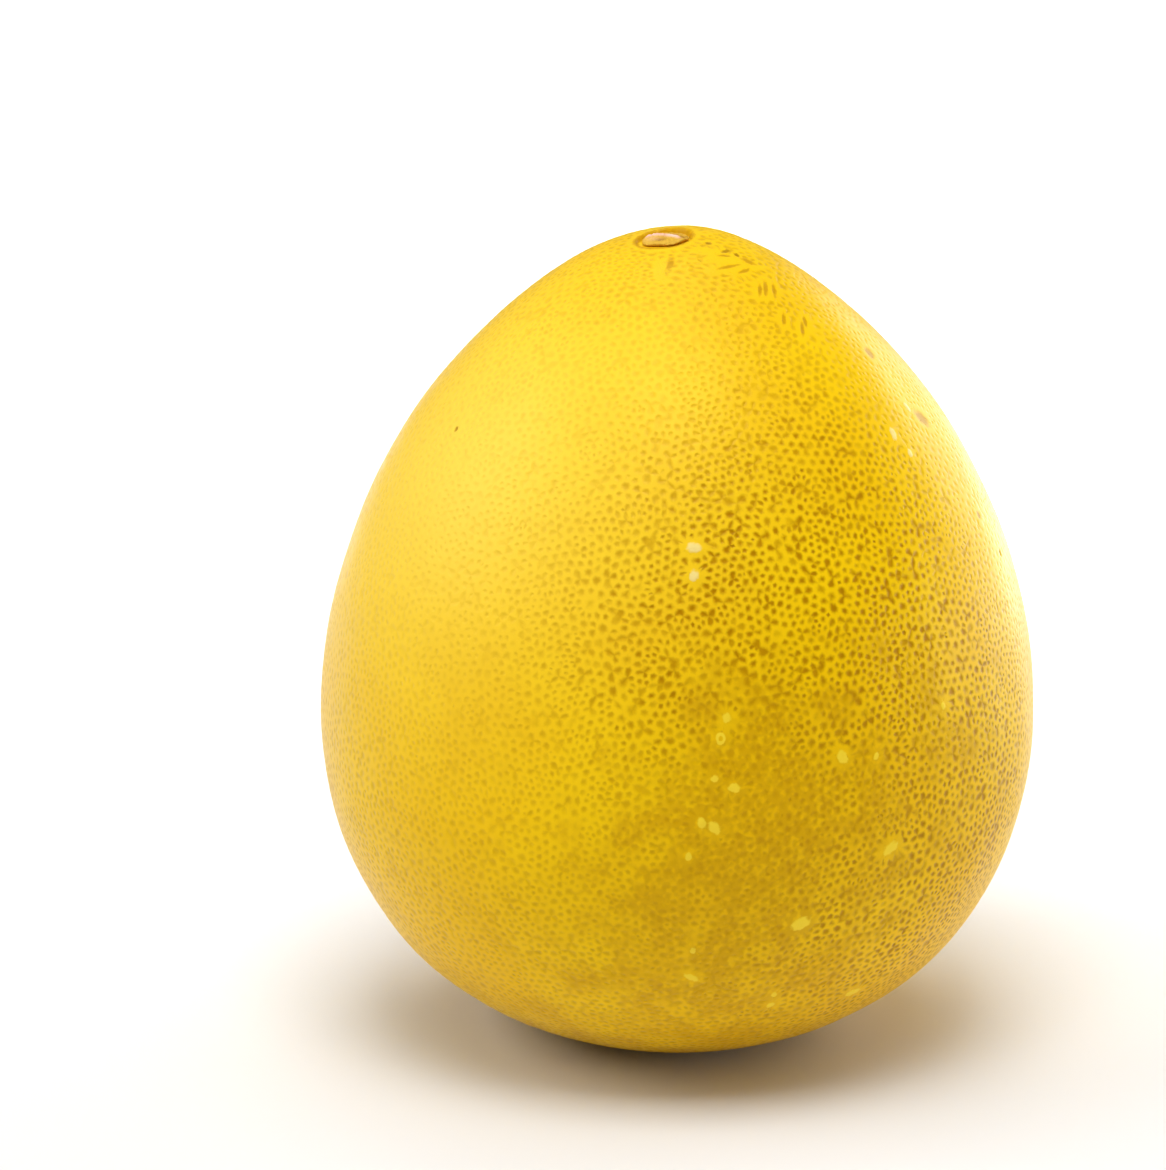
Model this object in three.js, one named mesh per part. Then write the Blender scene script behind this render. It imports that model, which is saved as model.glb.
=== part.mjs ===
// A whole ripe pomelo, as picked and clipped: a pear-shaped citrus fruit that stands on its
// blossom end, with the dry stem button that is left on top where the stalk was cut.
// Millimetres, +Z up. The origin is at the middle of the flat spot that the fruit rests on.
import * as THREE from "three";
import { mergeVertices } from "three/addons/utils/BufferGeometryUtils.js";

// The fruit's outline. Radius follows (1 - t * t) ** power, where t runs from 0 at the girth,
// the widest part, to 1 at the end. A power under 0.5 makes a blunt end, a larger one a neck.
const GIRTH_RADIUS = 75;
const CROWN_HEIGHT = 105.1; // from the girth up to where the neck would close
const CROWN_POWER = 0.65;
const UNDERSIDE_DEPTH = 69.7; // from the girth down to where the bottom would close
const UNDERSIDE_POWER = 0.412;
const FLAT_CUT = 1; // how much of the bottom the flat resting spot takes away
const GIRTH_HEIGHT = UNDERSIDE_DEPTH - FLAT_CUT; // above the resting surface
const FULL_HEIGHT = GIRTH_HEIGHT + CROWN_HEIGHT;

// What keeps the fruit from being a plain turned body.
const OVALITY = 0.012; // narrower along Y than along X
const LOBES = [
  { count: 3, share: 0.006, turn: 0.8 },
  { count: 5, share: 0.0035, turn: 2.1 },
];

// The stem end: a shallow basin, a little off the core, with a flat seat for the button.
const STEM_X = -3;
const STEM_Y = -2.6;
const CAP_RADIUS = 26; // how far out the rings shift to stay centred on the stem
const BASIN_DEPTH = 1.8;
const BASIN_RADIUS = 10;
const SEAT_RADIUS = 5.3;
const SEAT_WALL = 0.7; // width of the step down into the seat
const SEAT_DROP = 3.5; // below the full height, at the seat's middle
const SEAT_TILT = THREE.MathUtils.degToRad(5); // the seat leans out, towards -X

// The blossom end: a small navel in the middle of the flat spot.
const NAVEL_RADIUS = 5;
const NAVEL_DEPTH = 1.1;

// The stem button: a thin five-lobed calyx round the cut end of the stalk.
const BUTTON_GAP = 0.3; // keeps the button's solid clear of the fruit's
const CALYX_RADIUS = 4.8;
const CALYX_LOBES = 5;
const CALYX_LOBE_SHARE = 0.045;
const CALYX_THICKNESS = 1.2;
const STUB_RADIUS = 2.5;
const STUB_HEIGHT = 1.8;

const FRUIT_SEGMENTS = 60;
const UNDERSIDE_RINGS = 14;
const CROWN_RINGS = 22;
const NAVEL_RINGS = 4;
const BUTTON_SEGMENTS = 40;

const { clamp, lerp, smoothstep } = THREE.MathUtils;

const steps = (count) => Array.from({ length: count + 1 }, (_, i) => i / count);

/** Height of the crown's skin at a radius, before the basin is pressed into it. */
function crownHeight(radius) {
  const share = Math.min(radius / GIRTH_RADIUS, 1);
  return GIRTH_HEIGHT + CROWN_HEIGHT * Math.sqrt(1 - share ** (1 / CROWN_POWER));
}

/** Height of the flat seat that the stem button lies on. */
function seatHeight(x) {
  return FULL_HEIGHT - SEAT_DROP + Math.tan(SEAT_TILT) * (x - STEM_X);
}

/** The fruit's half outline, from the navel up to the middle of the stem's seat. */
function fruitOutline() {
  const navel = steps(NAVEL_RINGS)
    .map((s) => [NAVEL_RADIUS * s, NAVEL_DEPTH * Math.cos((Math.PI / 2) * s)]);
  const flatEdge = Math.asin(GIRTH_HEIGHT / UNDERSIDE_DEPTH);
  const underside = steps(UNDERSIDE_RINGS).map((s) => {
    const angle = flatEdge * (1 - s);
    const radius = GIRTH_RADIUS * Math.cos(angle) ** (2 * UNDERSIDE_POWER);
    return [radius, GIRTH_HEIGHT - UNDERSIDE_DEPTH * Math.sin(angle)];
  });
  const lip = SEAT_RADIUS + SEAT_WALL;
  const neck = Math.acos(((lip + 2) / GIRTH_RADIUS) ** (0.5 / CROWN_POWER));
  const crownRadii = steps(CROWN_RINGS)
    .slice(1)
    .map((s) => GIRTH_RADIUS * Math.cos(neck * s) ** (2 * CROWN_POWER));
  const seatRadii = [lip, SEAT_RADIUS + SEAT_WALL / 2, SEAT_RADIUS, SEAT_RADIUS / 2, 0];
  const crown = [...crownRadii, ...seatRadii].map((radius) => [radius, crownHeight(radius)]);
  return [...navel, ...underside, ...crown];
}

/** Draws the rings near the top towards the stem and presses the basin and seat into them. */
function shapeStemEnd(point) {
  const radius = Math.hypot(point.x, point.y);
  if (point.z < GIRTH_HEIGHT || radius > CAP_RADIUS) {
    return;
  }
  const drawn = 1 - smoothstep(radius, SEAT_RADIUS + SEAT_WALL, CAP_RADIUS);
  point.x += STEM_X * drawn;
  point.y += STEM_Y * drawn;
  const fromStem = Math.hypot(point.x - STEM_X, point.y - STEM_Y);
  const basin = BASIN_DEPTH * Math.exp(-((fromStem / BASIN_RADIUS) ** 2));
  const skin = crownHeight(Math.hypot(point.x, point.y)) - basin;
  const wall = smoothstep(fromStem, SEAT_RADIUS, SEAT_RADIUS + SEAT_WALL);
  point.z = lerp(seatHeight(point.x), skin, wall);
}

/** Widens or narrows the fruit round its core. The lobes fade out towards both ends. */
function swell(point) {
  const angle = Math.atan2(point.y, point.x);
  const fade = Math.sin(Math.PI * clamp(point.z / FULL_HEIGHT, 0, 1));
  const lobed = LOBES.reduce(
    (sum, { count, share, turn }) => sum + share * Math.cos(count * angle + turn),
    0,
  );
  const growth = 1 + fade * (lobed - OVALITY * Math.sin(angle) ** 2);
  point.x *= growth;
  point.y *= growth;
}

/** Gives the calyx its lobes, which grow from the stub out to the rim. */
function lobeCalyx(point) {
  const outward = smoothstep(Math.hypot(point.x, point.y), STUB_RADIUS, CALYX_RADIUS);
  const wave = Math.cos(CALYX_LOBES * Math.atan2(point.y, point.x));
  const growth = 1 + CALYX_LOBE_SHARE * outward * wave;
  point.x *= growth;
  point.y *= growth;
}

/** Turns an outline about Z, then moves the points with each of the shapers in order. */
function turned(outline, segments, shapers) {
  const profile = outline.map(([radius, height]) => new THREE.Vector2(radius, height));
  const lathe = new THREE.LatheGeometry(profile, segments).rotateX(Math.PI / 2);
  lathe.deleteAttribute("normal");
  lathe.deleteAttribute("uv");
  const geometry = mergeVertices(lathe, 1e-3);
  const positions = geometry.getAttribute("position");
  const point = new THREE.Vector3();
  for (let i = 0; i < positions.count; i += 1) {
    point.fromBufferAttribute(positions, i);
    shapers.forEach((shape) => shape(point));
    positions.setXYZ(i, point.x, point.y, point.z);
  }
  geometry.computeVertexNormals();
  return geometry;
}

function fruit() {
  const geometry = turned(fruitOutline(), FRUIT_SEGMENTS, [shapeStemEnd, swell]);
  const peel = new THREE.MeshStandardMaterial({ color: 0xf3c71c, roughness: 0.42, metalness: 0 });
  const mesh = new THREE.Mesh(geometry, peel);
  mesh.name = "fruit";
  return mesh;
}

function stemButton() {
  const outline = [
    [0, 0],
    [CALYX_RADIUS * 0.85, 0],
    [CALYX_RADIUS, CALYX_THICKNESS * 0.3],
    [CALYX_RADIUS * 0.97, CALYX_THICKNESS * 0.65],
    [CALYX_RADIUS * 0.82, CALYX_THICKNESS],
    [STUB_RADIUS * 1.2, CALYX_THICKNESS],
    [STUB_RADIUS, CALYX_THICKNESS * 1.2],
    [STUB_RADIUS * 0.97, STUB_HEIGHT * 0.93],
    [STUB_RADIUS * 0.85, STUB_HEIGHT],
    [0, STUB_HEIGHT * 0.96],
  ];
  const geometry = turned(outline, BUTTON_SEGMENTS, [lobeCalyx]);
  const stalk = new THREE.MeshStandardMaterial({ color: 0xc99a4c, roughness: 0.85, metalness: 0 });
  const mesh = new THREE.Mesh(geometry, stalk);
  mesh.name = "stem_button";
  mesh.rotation.y = -SEAT_TILT;
  mesh.position.set(STEM_X, STEM_Y, seatHeight(STEM_X) + BUTTON_GAP);
  return mesh;
}

const pomelo = new THREE.Group();
pomelo.add(fruit(), stemButton());

// The lobes draw the widest part a little to one side, so the whole is centred again.
const middle = new THREE.Box3().setFromObject(pomelo).getCenter(new THREE.Vector3());
pomelo.children.forEach((piece) => {
  piece.position.x -= middle.x;
  piece.position.y -= middle.y;
});

export default pomelo;
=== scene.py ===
"""Looks of a whole ripe pomelo: its waxy, gland-dotted peel and the dry button at its stem end.

Lengths are in metres unless a name or comment says otherwise. +Z runs up the fruit's core and
the viewer stands on the -Y side.
"""

import logging
from dataclasses import dataclass
from enum import Enum

import bpy
import numpy as np
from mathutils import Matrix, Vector
from mathutils.geometry import delaunay_2d_cdt


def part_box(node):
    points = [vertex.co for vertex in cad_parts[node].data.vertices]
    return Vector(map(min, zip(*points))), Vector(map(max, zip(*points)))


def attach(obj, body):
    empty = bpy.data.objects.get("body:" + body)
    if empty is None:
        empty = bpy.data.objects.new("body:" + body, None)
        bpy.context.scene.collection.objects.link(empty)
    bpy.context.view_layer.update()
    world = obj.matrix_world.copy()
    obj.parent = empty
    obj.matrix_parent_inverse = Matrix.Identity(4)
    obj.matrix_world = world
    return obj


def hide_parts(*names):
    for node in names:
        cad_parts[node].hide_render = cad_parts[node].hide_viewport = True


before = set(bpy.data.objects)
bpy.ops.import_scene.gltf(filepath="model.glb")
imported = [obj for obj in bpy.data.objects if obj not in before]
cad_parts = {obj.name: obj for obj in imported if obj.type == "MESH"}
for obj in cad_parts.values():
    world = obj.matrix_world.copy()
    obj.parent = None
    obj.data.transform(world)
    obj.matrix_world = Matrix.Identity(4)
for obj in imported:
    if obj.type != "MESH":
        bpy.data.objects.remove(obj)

MM = 0.001
UP = np.array([0.0, 0.0, 1.0])
SMOOTH = {"interpolation_type": "SMOOTHSTEP"}
Array = np.ndarray
Socket = bpy.types.NodeSocket

log = logging.getLogger("pomelo")


def srgb(code: str) -> tuple[float, float, float, float]:
    """Turns an sRGB hex colour into linear RGBA.

    Args:
        code: The colour, such as "#FACD03".

    Returns:
        Red, green, blue and an alpha of 1.
    """
    parts = [int(code[i : i + 2], 16) / 255 for i in (1, 3, 5)]
    linear = [c / 12.92 if c <= 0.04045 else ((c + 0.055) / 1.055) ** 2.4 for c in parts]
    return (*linear, 1.0)


def smoothstep(low: float, high: float, value: Array) -> Array:
    """Rises smoothly from 0 at low to 1 at high."""
    t = np.clip((value - low) / (high - low), 0.0, 1.0)
    return t * t * (3 - 2 * t)


def unit(vectors: Array) -> Array:
    """Scales each row to length 1."""
    return vectors / np.maximum(np.linalg.norm(vectors, axis=-1, keepdims=True), 1e-12)


# ---- form


@dataclass(frozen=True)
class PomeloForm:
    """The fruit's outline, and what keeps it from being a plain turned body.

    The radius follows (1 - t * t) ** power, where t runs from 0 at the girth to 1 at an end.
    """

    girth_radius: float = 75 * MM
    crown_height: float = 105.1 * MM
    crown_power: float = 0.65
    underside_depth: float = 69.7 * MM
    underside_power: float = 0.412
    flat_cut: float = 1 * MM
    ovality: float = 0.012
    lobes: tuple = ((3, 0.006, 0.8), (5, 0.0035, 2.1))  # count, share, turn
    stem_x: float = -3 * MM
    stem_y: float = -2.6 * MM
    cap_radius: float = 26 * MM
    basin_depth: float = 1.8 * MM
    basin_radius: float = 10 * MM
    seat_radius: float = 5.3 * MM
    seat_wall: float = 0.7 * MM
    seat_drop: float = 3.5 * MM
    seat_tilt: float = np.radians(5)
    navel_radius: float = 5 * MM
    navel_depth: float = 1.1 * MM

    @property
    def girth_height(self) -> float:
        """Height of the widest part above the resting surface."""
        return self.underside_depth - self.flat_cut

    @property
    def full_height(self) -> float:
        """Height at which the neck would close if it had no basin."""
        return self.girth_height + self.crown_height

    def outline(self, turn: Array) -> tuple[Array, Array]:
        """Gives radius and height along the half outline.

        Args:
            turn: -pi/2 at the blossom end, 0 at the girth, pi/2 at the stem end.

        Returns:
            Radii and heights, before the ends are pressed in.
        """
        crown = turn > 0
        power = np.where(crown, self.crown_power, self.underside_power)
        reach = np.where(crown, self.crown_height, self.underside_depth)
        radius = self.girth_radius * np.cos(turn) ** (2 * power)
        return radius, self.girth_height + reach * np.sin(turn)

    def crown(self, radius: Array) -> Array:
        """Gives the crown's skin, before the basin is pressed into it.

        Args:
            radius: Distances from the core.

        Returns:
            Heights above the resting surface.
        """
        share = np.minimum(radius / self.girth_radius, 1.0)
        rise = np.sqrt(1 - share ** (1 / self.crown_power))
        return self.girth_height + self.crown_height * rise

    def seat(self, x: Array) -> Array:
        """Height of the tilted flat seat that the stem button lies on."""
        return self.full_height - self.seat_drop + np.tan(self.seat_tilt) * (x - self.stem_x)

    def shape(self, points: Array) -> Array:
        """Moves points of the turned fruit to where the skin lies.

        Args:
            points: Points on the plain turned outline.

        Returns:
            The points with the basin, seat, navel, flat spot, lobes and ovality.
        """
        x, y, z = points.T.copy()
        radius = np.hypot(x, y)
        top = (z > self.girth_height) & (radius < self.cap_radius)
        lip = self.seat_radius + self.seat_wall
        drawn = np.where(top, 1 - smoothstep(lip, self.cap_radius, radius), 0)
        x, y = x + self.stem_x * drawn, y + self.stem_y * drawn
        from_stem = np.hypot(x - self.stem_x, y - self.stem_y)
        basin = self.basin_depth * np.exp(-((from_stem / self.basin_radius) ** 2))
        skin = self.crown(np.hypot(x, y)) - basin
        wall = smoothstep(self.seat_radius, lip, from_stem)
        z = np.where(top, self.seat(x) * (1 - wall) + skin * wall, np.maximum(z, 0))
        navel = self.navel_depth * np.cos(np.pi / 2 * np.minimum(radius / self.navel_radius, 1))
        z = np.where(z < self.flat_cut, z + navel, z)
        angle = np.arctan2(y, x)
        fade = np.sin(np.pi * np.clip(z / self.full_height, 0, 1))
        lobed = sum(share * np.cos(count * angle + turn) for count, share, turn in self.lobes)
        growth = 1 + fade * (lobed - self.ovality * np.sin(angle) ** 2)
        return np.stack([x * growth, y * growth, z], axis=1)


class SkinMap:
    """Carries directions on a ball to the fruit's skin without shearing them."""

    SAMPLES = 6001  # along the outline, close enough for a smooth table

    def __init__(self, form: PomeloForm) -> None:
        """Tabulates the outline against the ball's polar angle.

        Args:
            form: The fruit's form.
        """
        self.form = form
        crowded_ends = np.sin(np.linspace(-np.pi / 2, np.pi / 2, self.SAMPLES)) * np.pi / 2
        turn = crowded_ends[1:-1]
        radius, height = form.outline(turn)
        step = np.hypot(np.diff(radius), np.diff(height))
        middle = (radius[1:] + radius[:-1]) / 2
        stretch = np.concatenate([[0], np.cumsum(step / middle)])
        area = np.concatenate([[0], np.cumsum(step * middle)])
        half = np.interp(area[-1] / 2, area, stretch)
        self.polar = 2 * np.arctan(np.exp(half - stretch))
        self.turn = turn
        self.radius = radius
        self.height = height
        self.area = area / area[-1]
        self.skin_area = 2 * np.pi * area[-1]

    def magnify(self, directions: Array) -> Array:
        """Says how many metres of skin one radian of the ball stands for.

        Args:
            directions: Unit vectors.

        Returns:
            Metres per radian.
        """
        polar = np.arccos(np.clip(directions[:, 2], -1, 1))
        radius = np.interp(-polar, -self.polar, self.radius)
        return radius / np.maximum(np.sin(polar), 1e-6)

    def skin(self, directions: Array) -> Array:
        """Finds the skin under directions on the ball.

        Args:
            directions: Unit vectors.

        Returns:
            Points on the skin.
        """
        polar = np.arccos(np.clip(directions[:, 2], -1, 1))
        turn = np.interp(-polar, -self.polar, self.turn)
        radius, height = self.form.outline(turn)
        around = np.arctan2(directions[:, 1], directions[:, 0])
        turned = np.stack([radius * np.cos(around), radius * np.sin(around), height], axis=1)
        return self.form.shape(turned)

    def direction(self, polar: Array, around: Array) -> Array:
        """Unit vectors from polar angle and angle round the core."""
        flat = np.sin(polar)
        return np.stack([flat * np.cos(around), flat * np.sin(around), np.cos(polar)], axis=1)

    def at(self, around: float, height: float) -> Array:
        """Unit vector for a place on the skin.

        Args:
            around: Degrees round the fruit from the viewer's side.
            height: Height above the resting surface.

        Returns:
            Its direction on the ball.
        """
        polar = np.interp(height, self.height, self.polar)
        return self.direction(np.array([polar]), np.radians([around - 90.0]))[0]

    def scatter(self, count: int, rng: np.random.Generator) -> Array:
        """Spreads directions so that they fall evenly, but irregularly, over the skin.

        Args:
            count: How many.
            rng: Where the irregularity comes from.

        Returns:
            Unit vectors.
        """
        share = (np.arange(count) + rng.random(count)) / count
        polar = np.interp(share, self.area, self.polar)
        golden = np.arange(count) * np.pi * (3 - np.sqrt(5))  # a golden angle further each time
        around = golden + rng.normal(0, 0.3, count)
        return self.direction(polar, around)

    def rings(self, radii: list[float], spacing: float, crown: bool) -> Array:
        """Directions that form level rings near one end of the fruit.

        Args:
            radii: Ring radii.
            spacing: Distance between neighbours on a ring.
            crown: Whether the rings lie at the stem end.

        Returns:
            Unit vectors, ring by ring.
        """
        side = self.turn > 0 if crown else self.turn < 0
        order = np.argsort(self.radius[side])
        rings = []
        for index, radius in enumerate(radii):
            count = max(int(2 * np.pi * radius / spacing), 6)
            around = (np.arange(count) + index / 2) * 2 * np.pi / count
            polar = np.interp(radius, self.radius[side][order], self.polar[side][order])
            rings.append(self.direction(np.full(count, polar), around))
        return np.concatenate(rings)


def triangulate(directions: Array) -> Array:
    """Joins neighbouring directions on a ball into triangles that face outwards.

    The ball is unrolled on to a plane from its lowest point, which keeps circles round and so
    keeps neighbours neighbours. The gap that stays open there is closed across afterwards.

    Args:
        directions: Unit vectors.

    Returns:
        Indices of the directions, by triangle.
    """
    flat = directions[:, :2] / (1 + directions[:, 2:])
    joined = delaunay_2d_cdt([Vector(place) for place in flat.tolist()], [], [], 0, 1e-9)
    origin = np.array([indices[0] for indices in joined[3]])
    triangles = origin[np.array(joined[2])]
    edges = np.sort(triangles[:, [[0, 1], [1, 2], [2, 0]]].reshape(-1, 2), axis=1)
    keys, uses = np.unique(edges[:, 0] * len(directions) + edges[:, 1], return_counts=True)
    rim = np.stack(np.divmod(keys[uses == 1], len(directions)), axis=1)
    first = rim[0, 0]
    rim = rim[(rim != first).all(axis=1)]
    triangles = np.concatenate([triangles, np.insert(rim, 2, first, axis=1)])
    a, b, c = (directions[triangles[:, k]] for k in range(3))
    inward = np.einsum("ij,ij->i", np.cross(b - a, c - a), a + b + c) < 0
    triangles[inward] = triangles[inward][:, ::-1]
    return triangles


def relax(free: Array, fixed: Array, skin_map: SkinMap, rounds: int) -> Array:
    """Moves each free direction towards the middle of its cell, so that the cells even out.

    Args:
        free: Directions that may move.
        fixed: Directions that hold their place.
        skin_map: Gives the size of the skin under a direction.
        rounds: How often to move them.

    Returns:
        The free directions, moved.
    """
    for _ in range(rounds):
        everything = np.concatenate([free, fixed])
        triangles = triangulate(everything)
        corners = everything[triangles]
        middle = unit(corners.sum(axis=1))
        sides = corners[:, 1:] - corners[:, :1]
        area = np.linalg.norm(np.cross(sides[:, 0], sides[:, 1]), axis=1)
        pull = middle * (area * skin_map.magnify(middle) ** 4)[:, None]
        total = np.zeros_like(everything)
        for corner in range(3):
            np.add.at(total, triangles[:, corner], pull)
        moved = np.where(np.abs(total).sum(axis=1, keepdims=True) > 0, unit(total), everything)
        free = moved[: len(free)]
    return free


# ---- marks


class MarkKind(Enum):
    """What a blemish on the peel is, and how far it stands out of the skin."""

    FLECK = ("fleck", 0.08 * MM)  # bright spot where the glands never filled
    CORK = ("cork", 0.12 * MM)  # healed scratch, cream and a little corky
    PIT = ("pit", -0.25 * MM)  # puncture, sunken and brown
    SCUFF = ("scuff_and_shade", -0.08 * MM)  # rubbed or scorched skin, orange-brown; the same colour paints shade round the button and in a crease

    @property
    def attribute(self) -> str:
        """Name of the mesh attribute that holds marks of this kind."""
        return self.value[0]

    @property
    def relief(self) -> float:
        """Height of the mark over the skin."""
        return self.value[1]


@dataclass(frozen=True)
class Mark:
    """One blemish on the peel.

    Attributes:
        kind: What it is.
        around: Degrees round the fruit from the viewer's side, positive to the viewer's right.
        height: Millimetres above the resting surface.
        length: Millimetres along its long axis.
        width: Millimetres across it.
        lean: Degrees that the long axis leans to the right from upright.
        ring: Whether only its rim shows.
    """

    kind: MarkKind
    around: float
    height: float
    length: float
    width: float
    lean: float = 0.0
    ring: bool = False

    def axes(self, outward: Array) -> tuple[Array, Array]:
        """Gives the mark's own axes.

        Args:
            outward: The skin's outward direction at the mark.

        Returns:
            Unit vectors along and across the mark.
        """
        east = unit(np.cross(UP, outward))
        north = np.cross(outward, east)
        lean = np.radians(self.lean)
        along = north * np.cos(lean) + east * np.sin(lean)
        return along, east * np.cos(lean) - north * np.sin(lean)


def several(make: type, kind: Enum, *sizes: tuple) -> list:
    """Makes several marks or patches of one kind."""
    return [make(kind, *size) for size in sizes]


MARKS = (
    # A string of healed flecks down the middle of the viewer's side.
    *several(
        Mark,
        MarkKind.FLECK,
        *((8, 90, 2.0, 1.6), (7, 86, 2.2, 1.8, 0, True), (6, 78, 1.6, 1.3, 60)),
        *((9, 76, 1.8, 2.4, 10), (4, 69, 2.4, 1.6, -10), (6, 68, 3.0, 2.0, -35)),
        *((2, 62, 1.8, 1.3), (36, 59, 3.8, 2.4, 60), (27, 80, 3.0, 2.2, -30)),
        *((33, 79, 1.6, 1.2, 30), (21, 45, 4.2, 3.0, 60), (3, 40, 1.6, 1.2)),
        *((3, 33, 3.2, 1.6, -55), (19, 27, 1.6, 1.3), (19, 24, 2.2, 1.5, 40)),
        *((38, 23, 3.4, 2.2, 80), (47, 86, 1.6, 1.2)),
    ),
    *several(Mark, MarkKind.CORK, (3, 122, 2.0, 3.0), (3, 117, 2.2, 1.8)),
    # Rubs on the viewer's right, with corky edges.
    *several(Mark, MarkKind.CORK, (56, 137, 3.0, 1.6, 10), (58, 133, 1.8, 1.4, 10)),
    *several(Mark, MarkKind.CORK, (68, 140, 2.4, 1.4, -20)),
    *several(Mark, MarkKind.SCUFF, (70, 150, 2.8, 3.2, -30), (72, 137, 5.2, 3.4, -40)),
    *several(Mark, MarkKind.PIT, (77, 108, 1.6, 1.2)),
    *several(Mark, MarkKind.SCUFF, (73, 117, 1.8, 1.6)),
    *several(Mark, MarkKind.PIT, (-59, 137, 1.2, 1.0)),
    # Scorched skin beside the stem, and a darker stroke that runs down from it: painted shade of a
    # crease.
    *several(Mark, MarkKind.PIT, (44, 171, 1.8, 1.1, -30), (49, 170, 3.0, 1.2, 75)),
    *several(Mark, MarkKind.PIT, (54, 169.4, 1.8, 1.2, 10)),
    *several(
        Mark,
        MarkKind.SCUFF,
        *((56, 168, 3.6, 1.8, -30), (41, 169.5, 3.0, 0.9, -70), (36, 168, 5.5, 1.0, 86)),
        *((44, 167, 4.0, 0.9, 80), (43, 164, 4.5, 1.0, 40), (47, 164, 5.0, 1.1, 42)),
        *((51, 163.5, 4.5, 1.0, 40), (43, 159, 3.6, 1.0, 36), (48, 157, 4.0, 1.0, 38)),
        # the second here, at -7, is the crease's painted shade
        *((52, 158, 3.2, 1.0, 34), (-7, 168.8, 7.5, 1.5)),
    ),
)


class PatchKind(Enum):
    """What varies over a broad patch of the peel. The value names its mesh attribute."""

    GLANDS = "gland_tone"  # how dark the oil glands are
    BLOOM = "wax_and_sheen"  # pale thick wax that veils them, and painted sheen of the left light on the upper left
    MUSTARD = "mustard"  # deeper ground colour: riper skin, and painted shade low in the middle and at the bottom


@dataclass(frozen=True)
class Patch:
    """A broad soft patch of the peel.

    Attributes:
        kind: What varies.
        around: Degrees round the fruit from the viewer's side, positive to the viewer's right.
        height: Millimetres above the resting surface.
        spread: Millimetres from its middle to where it has faded to a third.
        amount: How much it adds in its middle.
    """

    kind: PatchKind
    around: float
    height: float
    spread: float
    amount: float


PATCHES = (
    *several(
        Patch,
        PatchKind.GLANDS,
        *((24, 120, 40, 0.55), (48, 70, 34, 0.60), (42, 38, 30, 0.68), (0, 105, 26, 0.30)),
        # the negative patches on the upper left (-40) and along the right edge (76 to 86) fade the
        # glands where the left light and the rim highlight wash them out, as painted highlight
        *((2, 150, 20, -0.30), (-40, 105, 42, -0.22), (76, 145, 20, -0.50)),
        *((80, 118, 20, -0.50), (83, 92, 16, -0.50), (86, 66, 16, -0.40)),
        *((80, 40, 20, -0.40), (150, 90, 55, 0.45), (-140, 60, 40, 0.25)),
    ),
    *several(
        Patch,
        PatchKind.BLOOM,
        # the two on the upper left paint in the sheen of the left light, as painted highlight; the
        # one at the back is thick wax
        *((-48, 134, 42, 0.8), (-85, 110, 45, 0.5), (170, 140, 30, 0.5)),
    ),
    *several(
        Patch,
        PatchKind.MUSTARD,
        # those low in the middle and at the bottom paint in shade, darker towards the bottom; the
        # one at the back is riper skin
        *((14, 78, 20, 0.75), (6, 48, 30, 0.60), (42, 72, 30, 0.45)),
        *((0, 6, 50, 0.6), (-150, 50, 45, 0.5)),
    ),
)


def strength(points: Array, place: Array, mark: Mark, normal: Array) -> Array:
    """How strongly a mark shows at each point.

    Args:
        points: Points on the skin.
        place: The mark's middle.
        mark: The mark.
        normal: The skin's outward direction at its middle.

    Returns:
        1 in the middle, 0.5 on the mark's rim and 0 from twice its size outwards.
    """
    along, across = mark.axes(normal)
    offset = points - place
    depth = np.abs(offset @ normal)
    long, wide = mark.length * MM / 2, mark.width * MM / 2
    reach = np.hypot(offset @ along / long, offset @ across / wide)
    if mark.ring:
        reach = 0.4 + 2 * np.abs(reach - 0.8)
    same_side = depth < 8 * MM  # keeps a mark from showing on the far side too
    return np.where(same_side, np.clip(1 - reach / 2, 0, 1), 0)


# ---- materials


def add(
    tree: bpy.types.NodeTree, kind: str, settings: dict, links: dict, output: str | int = 0
) -> Socket | None:
    """Adds a shader node to a tree.

    Args:
        tree: The tree to add to.
        kind: The node's type name, without its ShaderNode prefix.
        settings: Values by property, or by input name or number.
        links: Output sockets by the input, name or number, that they feed.
        output: Which output to give.

    Returns:
        That output, or nothing where the node has none.
    """
    node = tree.nodes.new(f"ShaderNode{kind}")
    for name, value in settings.items():
        if isinstance(name, int) or name in node.inputs:
            node.inputs[name].default_value = value
        else:
            setattr(node, name, value)
    for name, socket in links.items():
        tree.links.new(socket, node.inputs[name])
    return node.outputs[output] if node.outputs else None


def new_material(name: str) -> tuple[bpy.types.Material, bpy.types.NodeTree]:
    """Makes an empty node material.

    Args:
        name: The material's name.

    Returns:
        The material and its node tree.
    """
    material = bpy.data.materials.new(name)
    material.use_nodes = True
    material.node_tree.nodes.clear()
    return material, material.node_tree


@dataclass(frozen=True)
class Noise:
    """A cloudy pattern.

    Attributes:
        size: Distance over which it changes.
        detail: How many finer layers lie on it.
        roughness: How strong each finer layer is against the last.
    """

    size: float
    detail: float = 3.0
    roughness: float = 0.55

    @property
    def settings(self) -> dict[str, float]:
        """What the noise node's inputs are set to."""
        return {"Scale": 1 / self.size, "Detail": self.detail, "Roughness": self.roughness}


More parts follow.
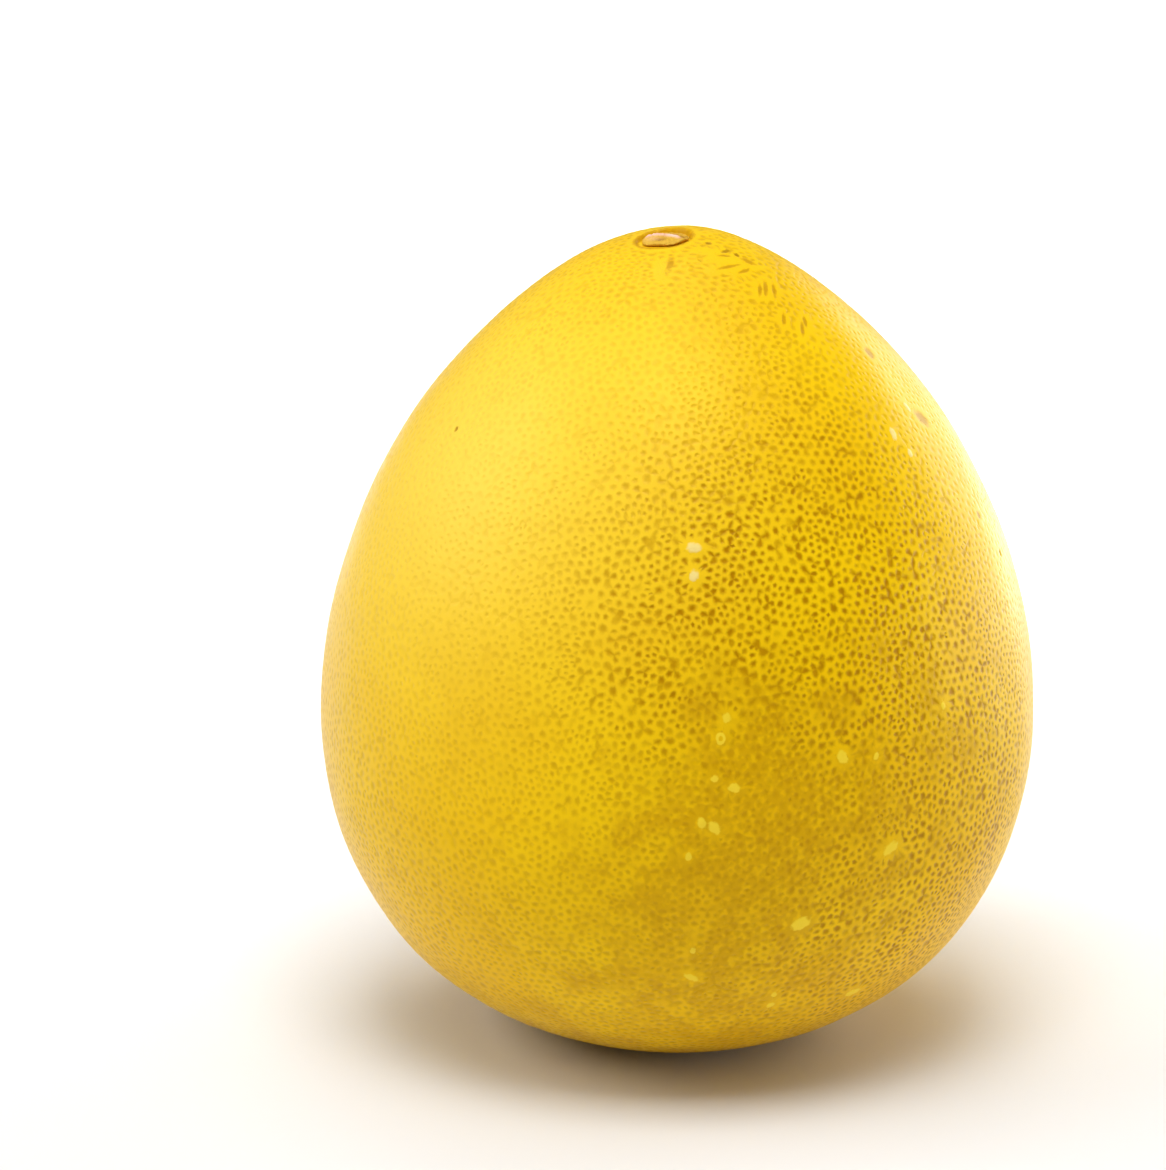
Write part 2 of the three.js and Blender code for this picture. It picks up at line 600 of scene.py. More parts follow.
@dataclass(frozen=True)
class PeelFinish:
    """Waxy citrus peel, as it grew.

    Ripe skin lies over oil glands that show as darker dots. Its thin wax gives the eye broad soft
    highlights, and a pale veil where it is thick. The pale patches on the upper left also paint in
    the sheen of the left light, and the deeper ground low in the middle and at the bottom paints in
    shade.
    """

    skin: str = "#FACD03"
    # pale: thick wax, and painted sheen of the left light on the upper left
    warm_skin: str = "#F4C202"
    wax_and_sheen: str = "#F8D24A"
    # deeper ground: riper skin, and painted shade low in the middle and at the bottom
    mustard: str = "#DEAB02"
    gland: str = "#B67E00"
    fleck: str = "#FFDE38"
    cork: str = "#FBE69A"
    pit: str = "#A06E08"
    scuff_and_shade: str = "#C48C04"
    # orange-brown: rubbed or scorched skin, and painted shade at the button's collar and in a
    # crease
    gleam: str = "#FFE58C"
    ior: float = 1.45
    roughness: float = 0.32
    specular: float = 0.23
    mottle: Noise = Noise(33 * MM)  # slow drift of ripeness
    blotch: Noise = Noise(9 * MM)  # breaks up the edges of the mustard patches
    speckle: Noise = Noise(1.6 * MM, detail=1.0, roughness=0.5)  # skin between glands
    grain: Noise = Noise(1.1 * MM, roughness=0.6)  # drawn coarser than real wax, to show
    gland_depth: float = 0.10 * MM
    grain_depth: float = 0.03 * MM

    def material(self) -> bpy.types.Material:
        """Makes the peel's material.

        Returns:
            The material, which reads the fruit's mesh attributes.
        """
        material, tree = new_material("waxy_citrus_peel")
        place = add(tree, "TexCoord", {}, {}, "Object")
        noise = {
            name: add(tree, "TexNoise", getattr(self, name).settings, {"Vector": place})
            for name in ("mottle", "blotch", "grain", "speckle")
        }
        names = ["gland", *(kind.value for kind in PatchKind)]
        names += [kind.attribute for kind in MarkKind]
        field = {
            name: add(tree, "Attribute", {"attribute_name": name}, {}, "Fac") for name in names
        }
        nodes = PeelNodes(self, tree, noise, field)
        gloss = {"To Min": self.roughness - 0.03, "To Max": self.roughness + 0.06}
        settings = {"IOR": self.ior, "Specular IOR Level": self.specular}
        shader = add(
            tree,
            "BsdfPrincipled",
            {**settings, "Specular Tint": srgb(self.gleam)},
            {
                "Base Color": nodes.colour(),
                "Roughness": add(tree, "MapRange", gloss, {"Value": noise["mottle"]}),
                "Normal": nodes.dimples(),
            },
        )
        add(tree, "OutputMaterial", {}, {"Surface": shader})
        return material


@dataclass(frozen=True)
class PeelNodes:
    """Works out what the peel's shader is fed with.

    Attributes:
        finish: The peel's finish.
        tree: The material's node tree.
        noise: Noise patterns by name.
        field: The fruit's mesh attributes by name.
    """

    finish: PeelFinish
    tree: bpy.types.NodeTree
    noise: dict[str, Socket]
    field: dict[str, Socket]

    def colour(self) -> Socket:
        """Lays the ground colour, the glands and the blemishes over each other, with painted shade
        in the mustard ground and painted sheen in the pale patches.

        Returns:
            The peel's colour.
        """
        finish = self.finish
        drift = {"From Min": 0.35, "From Max": 0.65}
        patches = add(self.tree, "MapRange", drift, {"Value": self.noise["mottle"]})
        ends = {6: srgb(finish.skin), 7: srgb(finish.warm_skin)}
        colour = add(self.tree, "Mix", {"data_type": "RGBA", **ends}, {0: patches}, 2)
        ripe_and_shaded = self.ripeness_and_shade()
        layers = (
            # mustard ground: riper skin, and painted shade low in the middle and at the bottom
            (self.mustard_share(ripe_and_shaded), finish.mustard),
            # pale patches: thick wax, and painted sheen of the left light on the upper left
            (self.field["wax_and_sheen"], finish.wax_and_sheen),
            (self.gland_share(ripe_and_shaded), finish.gland),
            # scuffs, and the painted shade of the collar and the crease
            (self.band("scuff_and_shade", 0.35, 0.75, 0.8), finish.scuff_and_shade),
            (self.band("fleck", 0.40, 0.62, 0.9), finish.fleck),
            (self.band("cork", 0.40, 0.65, 0.75), finish.cork),
            (self.band("pit", 0.35, 0.75, 0.8), finish.pit),
        )
        for share, over in layers:
            settings = {"data_type": "RGBA", 7: srgb(over)}
            colour = add(self.tree, "Mix", settings, {0: share, 6: colour}, 2)
        return colour

    def band(self, name: str, low: float, high: float, top: float) -> Socket:
        """Turns a field into a share, with a ragged edge.

        Args:
            name: The field's name.
            low: Where the share starts to rise from 0.
            high: Where it is full.
            top: The full share.

        Returns:
            The share.
        """
        spread = {"To Min": -0.30, "To Max": 0.30}
        ragged = add(self.tree, "MapRange", spread, {"Value": self.noise["grain"]})
        links = {0: self.field[name], 1: ragged}
        frayed = add(self.tree, "Math", {"operation": "ADD"}, links)
        edge = {"From Min": low, "From Max": high, "To Max": top, **SMOOTH}
        return add(self.tree, "MapRange", edge, {"Value": frayed})

    def ripeness_and_shade(self) -> Socket:
        """Breaks up the mustard patches, which are part riper skin and part painted shade.

        Returns:
            How deep the mustard ground is, riper skin and painted shade alike, from 0 to 1.
        """
        reach = {"To Min": -1.1, "To Max": 1.1}
        spread = add(self.tree, "MapRange", reach, {"Value": self.noise["blotch"]})
        links = {0: self.field["mustard"], 1: spread}
        patchy = add(self.tree, "Math", {"operation": "ADD"}, links)
        edge = {"From Min": 0.2, "From Max": 1.0, **SMOOTH}
        return add(self.tree, "MapRange", edge, {"Value": patchy})

    def mustard_share(self, ripe_and_shaded: Socket) -> Socket:
        """Leaves small yellower flecks in the mustard ground.

        Args:
            ripe_and_shaded: How deep the mustard ground is, riper skin and painted shade alike.

        Returns:
            How much of the mustard colour shows.
        """
        thinning = {"From Min": 0.48, "From Max": 0.66, "To Min": 1.0, "To Max": 0.3}
        flecked = add(self.tree, "MapRange", thinning, {"Value": self.noise["speckle"]})
        return add(self.tree, "Math", {"operation": "MULTIPLY"}, {0: ripe_and_shaded, 1: flecked})

    def gland_share(self, ripe_and_shaded: Socket) -> Socket:
        """Makes the glands' dots, which sink into the ground where the mustard is deepest, riper
        skin and painted shade alike.

        Args:
            ripe_and_shaded: How deep the mustard ground is, riper skin and painted shade alike.

        Returns:
            How much of the gland colour shows.
        """
        veiled = add(self.tree, "MapRange", {"To Min": 1.0, "To Max": 0.55}, {"Value": ripe_and_shaded})
        share = self.band("gland", 0.12, 0.82, 1.0)
        for factor in (self.field["gland_tone"], veiled):
            share = add(self.tree, "Math", {"operation": "MULTIPLY"}, {0: share, 1: factor})
        return share

    def dimples(self) -> Socket:
        """Sharpens the mesh's dimples, and adds the wax's own grain.

        Returns:
            The shading normal.
        """
        depth = {"To Min": 0.0, "To Max": -self.finish.gland_depth, **SMOOTH}
        settings = {"From Min": 0.25, "From Max": 0.95, **depth}
        dimple = add(self.tree, "MapRange", settings, {"Value": self.field["gland"]})
        grit = {"To Max": self.finish.grain_depth}
        fine = add(self.tree, "MapRange", grit, {"Value": self.noise["grain"]})
        height = add(self.tree, "Math", {"operation": "ADD"}, {0: dimple, 1: fine})
        return add(self.tree, "Bump", {"Strength": 1.0, "Distance": 1.0}, {"Height": height})


@dataclass(frozen=True)
class StalkFinish:
    """Dried stalk, torn off.

    Its bark is matt and golden brown. The torn fibre gives the eye a pale, pinkish ridge. Its
    hollows are painted darker brown, as painted shade.
    """

    bark: str = "#E8BC3A"
    dark_bark: str = "#C8961A"
    fibre: str = "#FFCABC"
    # painted shade in the torn end's hollows
    hollow_shade: str = "#A06C10"
    ior: float = 1.45
    roughness: float = 0.8
    grain: Noise = Noise(0.7 * MM, roughness=0.6)
    grain_depth: float = 0.15 * MM

    def material(self) -> bpy.types.Material:
        """Makes the stem button's material.

        Returns:
            The material, which reads the button's mesh attributes.
        """
        material, tree = new_material("dry_stalk")
        place = add(tree, "TexCoord", {}, {}, "Object")
        grain = add(tree, "TexNoise", self.grain.settings, {"Vector": place})
        ends = {6: srgb(self.dark_bark), 7: srgb(self.bark)}
        colour = add(tree, "Mix", {"data_type": "RGBA", **ends}, {0: grain}, 2)
        # the hollows get painted shade, the torn fibre its pale colour
        for name, over in (("hollow_shade", self.hollow_shade), ("fibre", self.fibre)):
            share = add(tree, "Attribute", {"attribute_name": name}, {}, "Fac")
            settings = {"data_type": "RGBA", 7: srgb(over)}
            colour = add(tree, "Mix", settings, {0: share, 6: colour}, 2)
        height = add(tree, "MapRange", {"To Max": self.grain_depth}, {"Value": grain})
        bump = add(tree, "Bump", {"Strength": 1.0, "Distance": 1.0}, {"Height": height})
        settings = {"IOR": self.ior, "Roughness": self.roughness}
        shader = add(tree, "BsdfPrincipled", settings, {"Base Color": colour, "Normal": bump})
        add(tree, "OutputMaterial", {}, {"Surface": shader})
        return material


# ---- pieces


def make_object(
    name: str, points: Array, faces: Array, fields: dict[str, Array]
) -> bpy.types.Object:
    """Makes a smooth-shaded mesh object.

    Args:
        name: The object's name.
        points: Vertex positions.
        faces: Vertex indices by face.
        fields: Values per vertex, by attribute name.

    Returns:
        The object, linked to the scene.
    """
    mesh = bpy.data.meshes.new(name)
    mesh.from_pydata(points.tolist(), [], faces.tolist())
    for field, values in fields.items():
        attribute = mesh.attributes.new(field, "FLOAT", "POINT")
        attribute.data.foreach_set("value", values.astype(np.float32))
    mesh.shade_smooth()
    mesh.update()
    piece = bpy.data.objects.new(name, mesh)
    bpy.context.scene.collection.objects.link(piece)
    return piece


def vertex_normals(points: Array, faces: Array) -> Array:
    """Finds outward unit normals at the vertices of a triangle mesh.

    Args:
        points: Vertex positions.
        faces: Vertex indices by triangle.

    Returns:
        A normal for each vertex.
    """
    a, b, c = (points[faces[:, k]] for k in range(3))
    facing = np.cross(b - a, c - a)
    normals = np.zeros_like(points)
    for corner in range(3):
        np.add.at(normals, faces[:, corner], facing)
    return unit(normals)


@dataclass
class Fruit:
    """The fruit, with a real dimple at every oil gland."""

    form: PomeloForm
    low: Array
    high: Array
    gland_spacing: float = 1.95 * MM
    gland_depth: float = 0.12 * MM
    undulation: float = 0.15 * MM
    wave_count: int = 14
    plain_gland_tone: float = 0.40
    least_gland_tone: float = 0.08
    wax_and_sheen_veil: float = 0.7  # share of the glands' tone that a full pale patch hides, thick wax and painted sheen alike
    collar_radius: float = 5.8 * MM  # darker ring round the button: part browning, part painted shade of the seat's rim
    collar_width: float = 1.2 * MM
    collar_tone: float = 0.72
    seat_rings: tuple = (0.3, 0.65, 0.92, 1.0)  # shares of the seat's radius
    wall_rings: tuple = (0.35 * MM, 0.7 * MM, 1.2 * MM)  # beyond the seat's radius
    seat_step: float = 0.75 * MM
    seat_margin: float = 2.2 * MM
    navel_rings: tuple = (0.2, 0.45, 0.7, 0.95)  # shares of the navel's radius
    navel_step: float = 1.0 * MM
    navel_margin: float = 0.8 * MM
    scar_rings: tuple = (0.3, 0.6, 0.85, 1.1, 1.35)  # shares of the mark's size
    scar_step: float = 0.4 * MM
    scar_margin: float = 0.7 * MM
    far_marks: int = 22
    linked_share: float = 0.10  # cell corners where neighbouring glands run together
    seed: int = 7

    def sites(self) -> tuple[Array, int]:
        """Places the glands, and the plain rings at both ends.

        Returns:
            Directions on the ball, glands first, and how many of them are glands.
        """
        rng = np.random.default_rng(self.seed)
        skin_map = SkinMap(self.form)
        cell = 0.866 * self.gland_spacing**2  # a six-sided cell
        glands = skin_map.scatter(int(skin_map.skin_area / cell), rng)
        glands = relax(glands, np.empty((0, 3)), skin_map, 8)
        seat, navel = self.form.seat_radius, self.form.navel_radius
        stem_radii = [seat * share for share in self.seat_rings]
        stem_radii += [seat + beyond for beyond in self.wall_rings]
        navel_radii = [navel * share for share in self.navel_rings]
        rings = np.concatenate(
            [
                skin_map.rings(stem_radii, self.seat_step, True),
                skin_map.rings(navel_radii, self.navel_step, False),
            ]
        )
        radius = np.interp(-np.arccos(glands[:, 2]), -skin_map.polar, skin_map.radius)
        clear = np.where(glands[:, 2] > 0, seat + self.seat_margin, navel + self.navel_margin)
        glands = glands[radius > clear]
        for mark in self.marks():
            scar, spared = self.scar_sites(mark, skin_map, glands)
            rings = np.concatenate([rings, scar])
            glands = glands[spared]
        glands = relax(glands, rings, skin_map, 2)
        return np.concatenate([glands, rings]), len(glands)

    def marks(self) -> list[Mark]:
        """Lists the marks given one by one, and scattered ones round the far side.

        Returns:
            All marks, in a fixed order.
        """
        rng = np.random.default_rng(self.seed + 2)
        kinds = [MarkKind.FLECK] * 4 + [MarkKind.SCUFF, MarkKind.PIT]
        scattered = []
        for _ in range(self.far_marks):
            length = rng.uniform(1.2, 3.6)
            scattered.append(
                Mark(
                    kinds[rng.integers(len(kinds))],
                    rng.uniform(95, 265),
                    rng.uniform(18, 150),
                    length,
                    length * rng.uniform(0.5, 0.9),
                    rng.uniform(-90, 90),
                )
            )
        return [*MARKS, *scattered]

    def scar_sites(self, mark: Mark, skin_map: SkinMap, glands: Array) -> tuple[Array, Array]:
        """Sets close rings of mesh points under a mark, so that its outline comes out smooth.

        Args:
            mark: The mark.
            skin_map: Gives the size of the skin under a direction.
            glands: Directions of the glands.

        Returns:
            Directions of the rings, and which of the glands lie clear of them.
        """
        middle = skin_map.at(mark.around, mark.height * MM)
        radian = skin_map.magnify(middle[None])[0]
        along, across = mark.axes(middle)
        long, wide = mark.length * MM / 2, mark.width * MM / 2
        sites = [middle[None]]
        for share in self.scar_rings:
            count = max(int(np.pi * share * (long + wide) / self.scar_step), 6)
            turn = (np.arange(count) + share * 5) * 2 * np.pi / count
            sites.append(
                middle
                + (np.cos(turn) * share * long / radian)[:, None] * along
                + (np.sin(turn) * share * wide / radian)[:, None] * across
            )
        offset = (glands - middle) * radian
        clear = self.scar_rings[-1] * np.array([long, wide]) + self.scar_margin
        reach = np.hypot(offset @ along / clear[0], offset @ across / clear[1])
        return unit(np.concatenate(sites)), (reach > 1) | (glands @ middle < 0)

    def fan(self, triangles: Array, count: int) -> Array:
        """Turns triangles between sites into a fan of faces round each site.

        Args:
            triangles: Site indices by triangle.
            count: How many sites there are; the triangles' middles are numbered after them.

        Returns:
            Vertex indices by face.
        """
        start = triangles.ravel()
        end = np.roll(triangles, -1, axis=1).ravel()
        owner = np.repeat(np.arange(len(triangles)), 3)
        key = start * count + end
        order = np.argsort(key)
        twin = owner[order[np.searchsorted(key[order], end * count + start)]]
        return np.stack([start, count + twin, count + owner], axis=1)

    def gland_field(
        self, rng: np.random.Generator, gland_count: int, site_count: int, corner_count: int
    ) -> Array:
        """Fills the cells' middles with glands, and runs some of them together.

        Args:
            rng: Where the irregularity comes from.
            gland_count: How many sites are glands; they come first.
            site_count: How many sites there are.
            corner_count: How many cell corners follow them.

        Returns:
            How much of a gland each vertex is, from 0 to 1.
        """
        # Most corners are bare ground, and the linked ones join their glands part of the way.
        joined = np.clip(rng.normal(0.04, 0.12, corner_count), 0, 0.3)
        linked = rng.random(corner_count) < self.linked_share
        joined[linked] = rng.uniform(0.3, 0.65, linked.sum())
        gland = np.concatenate([np.zeros(site_count), joined])
        # No gland is quite as full as its neighbour.
        gland[:gland_count] = np.clip(rng.normal(0.92, 0.12, gland_count), 0.5, 1)
        return gland

    def scar(self, points: Array, normals: Array, fields: dict[str, Array]) -> Array:
        """Lays the marks over the skin, and the darker collar round the button, which is part
        browning of the skin and part painted shade of the seat's rim.

        Args:
            points: Points on the skin.
            normals: The skin's outward directions there.
            fields: Values per point by attribute name, which the marks are added to.

        Returns:
            How far the marks raise each point.
        """
        rise = np.zeros(len(points))
        for kind in MarkKind:
            fields[kind.attribute] = np.zeros(len(points))
        for mark in self.marks():
            place, normal = self.locate(mark.around, mark.height, points, normals)
            value = strength(points, place, mark, normal)
            field = fields[mark.kind.attribute]
            np.maximum(field, value, out=field)
            rise += mark.kind.relief * smoothstep(0.3, 0.8, value)
        # collar round the button: part browning, part painted shade of the seat's rim
        from_stem = np.hypot(points[:, 0] - self.form.stem_x, points[:, 1] - self.form.stem_y)
        collar = (from_stem - self.collar_radius) / self.collar_width
        browned_and_shaded = self.collar_tone * np.exp(-(collar**2))
        browned_and_shaded[points[:, 2] < self.form.girth_height] = 0
        np.maximum(fields["scuff_and_shade"], browned_and_shaded, out=fields["scuff_and_shade"])
        return rise

    def build(self, finish: PeelFinish) -> bpy.types.Object:
        """Builds the fruit in place of the CAD node.

        Args:
            finish: The peel's finish.

        Returns:
            The fruit.
        """
        rng = np.random.default_rng(self.seed + 1)
        sites, gland_count = self.sites()
        triangles = triangulate(sites)
        faces = self.fan(triangles, len(sites))
        corners = unit(sites[triangles].sum(axis=1))
        points = SkinMap(self.form).skin(np.concatenate([sites, corners]))
        normals = vertex_normals(points, faces)
        gland = self.gland_field(rng, gland_count, len(sites), len(corners))
        rise = self.waves(points, rng) - self.gland_depth * gland
        fields = {"gland": gland, **self.patchwork(points, normals)}
        # Some glands are darker than their neighbours.
        vigour = np.clip(rng.normal(1.0, 0.22, len(sites)), 0.4, 1.4)
        vigour = np.concatenate([vigour, vigour[triangles].mean(axis=1)])
        fields["gland_tone"] = np.clip(fields["gland_tone"] * vigour, 0, 1)
        rise += self.scar(points, normals, fields)
        points = self.fit(points + normals * rise[:, None])
        piece = make_object("pomelo_fruit", points, faces, fields)
        piece.data.materials.append(finish.material())
        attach(piece, "root")
        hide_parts("fruit")
        return piece

    def waves(self, points: Array, rng: np.random.Generator) -> Array:
        """Adds up gentle swells of the skin.

        Args:
            points: Points on the skin.
            rng: Where the swells' directions and lengths come from.

        Returns:
            Heights at the points, fading towards both ends.
        """
        total = np.zeros(len(points))
        for _ in range(self.wave_count):
            direction = unit(rng.normal(size=3))
            length = rng.uniform(16 * MM, 45 * MM)
            phase = rng.uniform(0, 2 * np.pi)
            total += np.sin(points @ direction * (2 * np.pi / length) + phase)
        ends = smoothstep(0, 8 * MM, points[:, 2])
        ends *= 1 - smoothstep(self.form.full_height - 14 * MM, self.form.full_height, points[:, 2])
        return self.undulation * total / np.sqrt(self.wave_count) * ends

    def patchwork(self, points: Array, normals: Array) -> dict[str, Array]:
        """Lays the broad patches over the skin.

        Args:
            points: Points on the skin.
            normals: The skin's outward directions there.

        Returns:
            Values from 0 to 1 per point, by attribute name.
        """
        fields = {kind.value: np.zeros(len(points)) for kind in PatchKind}
        fields[PatchKind.GLANDS.value] += self.plain_gland_tone
        for patch in PATCHES:
            place, _ = self.locate(patch.around, patch.height, points, normals)
            away = np.linalg.norm(points - place, axis=1) / (patch.spread * MM)
            fields[patch.kind.value] += patch.amount * np.exp(-(away**2))
        tone = fields[PatchKind.GLANDS.value]
        # the glands fade under the pale patches, painted sheen and thick wax alike
        tone *= 1 - self.wax_and_sheen_veil * fields[PatchKind.BLOOM.value]
        np.maximum(tone, self.least_gland_tone, out=tone)
        return {name: np.clip(values, 0, 1) for name, values in fields.items()}

    def locate(
        self, around: float, height: float, points: Array, normals: Array
    ) -> tuple[Array, Array]:
        """Finds a place on the skin.

        Args:
            around: Degrees round the fruit from the viewer's side.
            height: Millimetres above the resting surface.
            points: Points on the skin.
            normals: The skin's outward directions there.

        Returns:
            The nearest point, and the skin's outward direction there.
        """
        turn = np.radians(around)
        toward = np.array([np.sin(turn), -np.cos(turn)])
        flat = points[:, :2] @ toward
        side = points[:, :2] @ np.array([-toward[1], toward[0]])
        miss = np.hypot(side, points[:, 2] - height * MM)
        nearest = np.argmin(np.where(flat > 0, miss, 1))
        return points[nearest], normals[nearest]

    def fit(self, points: Array) -> Array:
        """Sets the fruit over the CAD node's box.

        Args:
            points: The fruit's points.

        Returns:
            The points, scaled to the box's height and centred on it.
        """
        low, high = points.min(axis=0), points.max(axis=0)
        scale = (self.high - self.low)[2] / (high - low)[2]
        moved = points * scale
        moved[:, :2] += (self.low + self.high)[:2] / 2 - (low + high)[:2] / 2 * scale
        moved[:, 2] += self.low[2] - low[2] * scale
        return moved


@dataclass
class StemButton:
    """The dry calyx and the torn end of the stalk."""

    low: Array
    high: Array
    tilt: float
    radius: float = 4.8 * MM
    thickness: float = 0.9 * MM
    tear: tuple = ((-3.6, 0.5), (-2.4, 1.3), (-0.9, 1.1), (0.5, 0.1), (1.5, -0.9), (2.8, -1.9))
    tear_width: float = 0.45 * MM
    tear_height: float = 0.45 * MM
    hollows: tuple = ((-0.8, -1.9, 1.1), (2.1, 1.8, 0.9), (3.7, -0.4, 0.9))  # x, y, radius
    hollow_depth: float = 0.4 * MM
    fibre_patch: tuple = (-2.4, -0.9, 1.3)  # x, y, radius
    pleat_height: float = 0.07 * MM
    crumble: float = 0.05 * MM
    rings: int = 30
    spokes: int = 110
    seed: int = 3

    def from_tear(self, x: Array, y: Array) -> Array:
        """Measures how far places lie from the torn ridge of stalk fibre.

        Args:
            x: Places across the button.
            y: Places away from the viewer.

        Returns:
            Distances.
        """
        nearest = np.full(x.shape, np.inf)
        for start, end in zip(self.tear, self.tear[1:]):
            first, step = np.array(start) * MM, (np.array(end) - np.array(start)) * MM
            share = ((x - first[0]) * step[0] + (y - first[1]) * step[1]) / (step @ step)
            share = np.clip(share, 0, 1)
            away = np.hypot(x - first[0] - share * step[0], y - first[1] - share * step[1])
            nearest = np.minimum(nearest, away)
        return nearest

    def blob(self, x: Array, y: Array, spot: tuple) -> Array:
        """How deep inside a round spot each place lies, from 0 to 1."""
        away = np.hypot(x - spot[0] * MM, y - spot[1] * MM) / (spot[2] * MM)
        return np.exp(-(away**2))

    def relief(self, x: Array, y: Array) -> tuple[Array, dict[str, Array]]:
        """Shapes the torn face.

        Args:
            x: Places across the button.
            y: Places away from the viewer.

        Returns:
            Heights over the seat, and the values of the colour attributes.
        """
        rng = np.random.default_rng(self.seed)
        ring = np.hypot(x, y) / self.radius
        angle = np.arctan2(y, x)
        fibre = np.exp(-((self.from_tear(x, y) / self.tear_width) ** 2))
        # the hollows' depth also sets their painted shade
        hollow_shade = sum(self.blob(x, y, spot) for spot in self.hollows)
        height = self.thickness * (1 - 0.7 * np.minimum(ring, 1) ** 6)
        height += self.tear_height * fibre - self.hollow_depth * hollow_shade
        pleats = np.sin(19 * angle + 3 * np.sin(4 * angle)) * np.minimum(2 * ring, 1)
        height += self.pleat_height * pleats + rng.normal(0, self.crumble, x.shape)
        pale = np.maximum(fibre, 0.25 * self.blob(x, y, self.fibre_patch))
        return height, {"fibre": np.clip(pale, 0, 1), "hollow_shade": np.clip(hollow_shade, 0, 1)}

    def build(self, finish: StalkFinish) -> bpy.types.Object:
        """Builds the button in place of the CAD node.

        Args:
            finish: The stalk's finish.

        Returns:
            The button.
        """
        share = np.linspace(0, 1, self.rings + 1)[1:]
        around = np.arange(self.spokes) * 2 * np.pi / self.spokes
        ring, angle = np.meshgrid(share, around, indexing="ij")
        lobed = 1 + 0.045 * ring**3 * np.cos(5 * angle)
        x = self.radius * ring * lobed * np.cos(angle)
        y = self.radius * ring * lobed * np.sin(angle)
        z, fields = self.relief(x, y)
        top = np.stack([x, y, z], axis=-1).reshape(-1, 3)
        count = len(top)
        under = top.copy()
        under[:, 2] = 0
        rim = np.arange(count - self.spokes, count)
        centre = np.array([[0, 0, z[0].mean()], [0, 0, 0]])
        points = np.concatenate([top, under[rim] * [0.97, 0.97, 1], centre])
        faces = []
        for r in range(self.rings - 1):
            for s in range(self.spokes):
                a, b = r * self.spokes + s, r * self.spokes + (s + 1) % self.spokes
                faces += [(a, a + self.spokes, b + self.spokes), (a, b + self.spokes, b)]
        for s in range(self.spokes):
            t = (s + 1) % self.spokes
            faces.append((len(points) - 2, s, t))
            faces += [(rim[s], count + s, count + t), (rim[s], count + t, rim[t])]
            faces.append((len(points) - 1, count + t, count + s))
        plain = np.zeros(self.spokes)
        fields = {
            name: np.concatenate([values.ravel(), plain, [values[0].mean(), 0]])
            for name, values in fields.items()
        }
        turn = np.array(
            [
                [np.cos(self.tilt), 0, -np.sin(self.tilt)],
                [0, 1, 0],
                [np.sin(self.tilt), 0, np.cos(self.tilt)],
            ]
        )
        points = points @ turn.T
        middle = (self.low + self.high) / 2
        points[:, :2] += middle[:2]
        points[:, 2] += self.low[2] - points[:, 2].min()
        piece = make_object("pomelo_stem_button", points, np.array(faces), fields)
        piece.data.materials.append(finish.material())
        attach(piece, "root")
        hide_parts("stem_button")
        return piece


# ---- studio


@dataclass(frozen=True)
class Softbox:
    """A soft studio light.

    Attributes:
        name: What it does.
        around: Degrees round the fruit from the viewer, positive to the viewer's right.
        elevation: Degrees above the horizon.
        distance: How far away it stands.
        width: Its width.
        height: Its height.
        power: Watts.
        behind: How far behind the fruit's core the spot it faces lies.
        beam: Degrees that its light spreads over.
    """

    name: str
    around: float
    elevation: float
    distance: float
    width: float
    height: float
    power: float
    behind: float = 0.0
    beam: float = 180.0


SOFTBOXES = (
    Softbox("front_top", 0, 70, 1.4, 0.7, 0.6, 9.8),
    Softbox("left", -82, 34, 1.4, 0.9, 0.7, 6.9),
    Softbox("right", 96, 0, 1.4, 0.9, 0.45, 7.0),
    Softbox("rim_right", 136, 8, 0.55, 0.42, 0.36, 1.3),
    Softbox("backdrop", 0, 90, 1.2, 1.0, 0.8, 8, behind=0.95, beam=70),
)


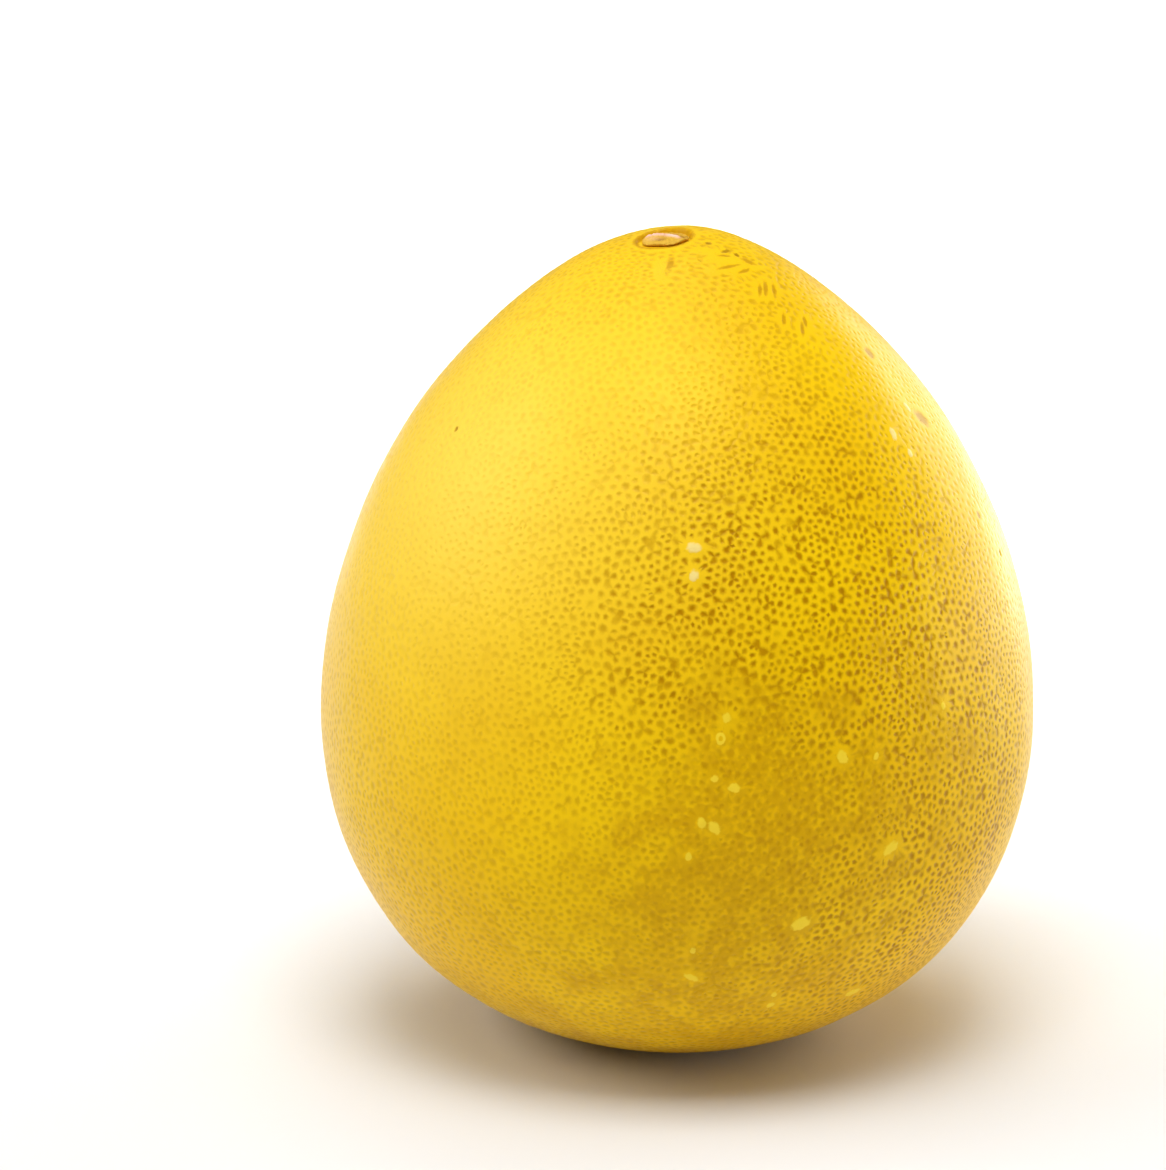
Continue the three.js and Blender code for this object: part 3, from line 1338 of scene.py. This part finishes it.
@dataclass(frozen=True)
class Studio:
    """The pale floor, the lights and the camera."""

    target: Vector
    elevation: float = 18.0
    distance: float = 1.1
    lens: float = 160.0
    aim_left: float = 20 * MM
    aim_up: float = 26.1 * MM
    floor_colour: str = "#E8E8E8"
    ambient: float = 0.16
    overhead: float = 1.1

    def toward(self, around: float, elevation: float) -> Vector:
        """Unit vector from the fruit to a place in the studio."""
        a, e = np.radians(around), np.radians(elevation)
        return Vector((np.sin(a) * np.cos(e), -np.cos(a) * np.cos(e), np.sin(e)))

    def add_floor(self) -> None:
        """Lays a plain pale floor."""
        size = 12.0
        corners = np.array([[-1, -1, 0], [1, -1, 0], [1, 1, 0], [-1, 1, 0]]) * size / 2
        floor = make_object("studio_floor", corners, np.array([[0, 1, 2, 3]]), {})
        material, tree = new_material("pale_studio_floor")
        matt = {"Roughness": 0.9, "Specular IOR Level": 0.0}
        settings = {"Base Color": srgb(self.floor_colour), **matt}
        shader = add(tree, "BsdfPrincipled", settings, {})
        add(tree, "OutputMaterial", {}, {"Surface": shader})
        floor.data.materials.append(material)

    def add_lights(self) -> None:
        """Hangs the softboxes and sets the room's own light."""
        for box in SOFTBOXES:
            data = bpy.data.lights.new(box.name, "AREA")
            data.shape = "RECTANGLE"
            data.size = box.width
            data.size_y = box.height
            data.energy = box.power
            data.spread = np.radians(box.beam)
            light = bpy.data.objects.new(box.name, data)
            direction = self.toward(box.around, box.elevation)
            light.location = self.target + Vector((0, box.behind, 0)) + direction * box.distance
            light.rotation_euler = direction.to_track_quat("Z", "Y").to_euler()
            bpy.context.scene.collection.objects.link(light)
        data = bpy.data.lights.new("overhead", "SUN")
        data.energy = self.overhead
        data.angle = np.radians(60)
        light = bpy.data.objects.new("overhead", data)
        light.rotation_euler = self.toward(0, 85).to_track_quat("Z", "Y").to_euler()
        bpy.context.scene.collection.objects.link(light)
        world = bpy.data.worlds.new("studio_air")
        world.use_nodes = True
        world.node_tree.nodes["Background"].inputs["Color"].default_value = (1, 1, 1, 1)
        world.node_tree.nodes["Background"].inputs["Strength"].default_value = self.ambient
        bpy.context.scene.world = world

    def add_camera(self) -> None:
        """Stands the camera in front of the fruit."""
        data = bpy.data.cameras.new("camera")
        data.lens = self.lens
        data.clip_end = 20
        camera = bpy.data.objects.new("camera", data)
        direction = self.toward(0, self.elevation)
        camera.location = self.target + direction * self.distance
        up = Vector((0, 0, 1)) - direction * direction.z
        aim = self.target + Vector((-self.aim_left, 0, 0)) + up.normalized() * self.aim_up
        camera.rotation_euler = (camera.location - aim).to_track_quat("Z", "Y").to_euler()
        bpy.context.scene.collection.objects.link(camera)
        bpy.context.scene.camera = camera

    def build(self) -> None:
        """Builds the whole studio."""
        self.add_floor()
        self.add_lights()
        self.add_camera()
        bpy.context.scene.view_settings.view_transform = "Standard"


def main() -> None:
    """Builds the pomelo and its studio."""
    logging.basicConfig(level=logging.INFO, format="%(name)s: %(message)s")
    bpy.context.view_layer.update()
    form = PomeloForm()
    low, high = (np.array(corner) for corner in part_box("fruit"))
    fruit = Fruit(form, low, high).build(PeelFinish())
    log.info("fruit: %d faces", len(fruit.data.polygons))
    low, high = (np.array(corner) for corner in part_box("stem_button"))
    button = StemButton(low, high, form.seat_tilt).build(StalkFinish())
    log.info("stem button: %d faces", len(button.data.polygons))
    Studio(Vector((0, 0, form.girth_height))).build()
    log.info("studio: %d softboxes", len(SOFTBOXES))


if __name__ == "__main__":
    main()
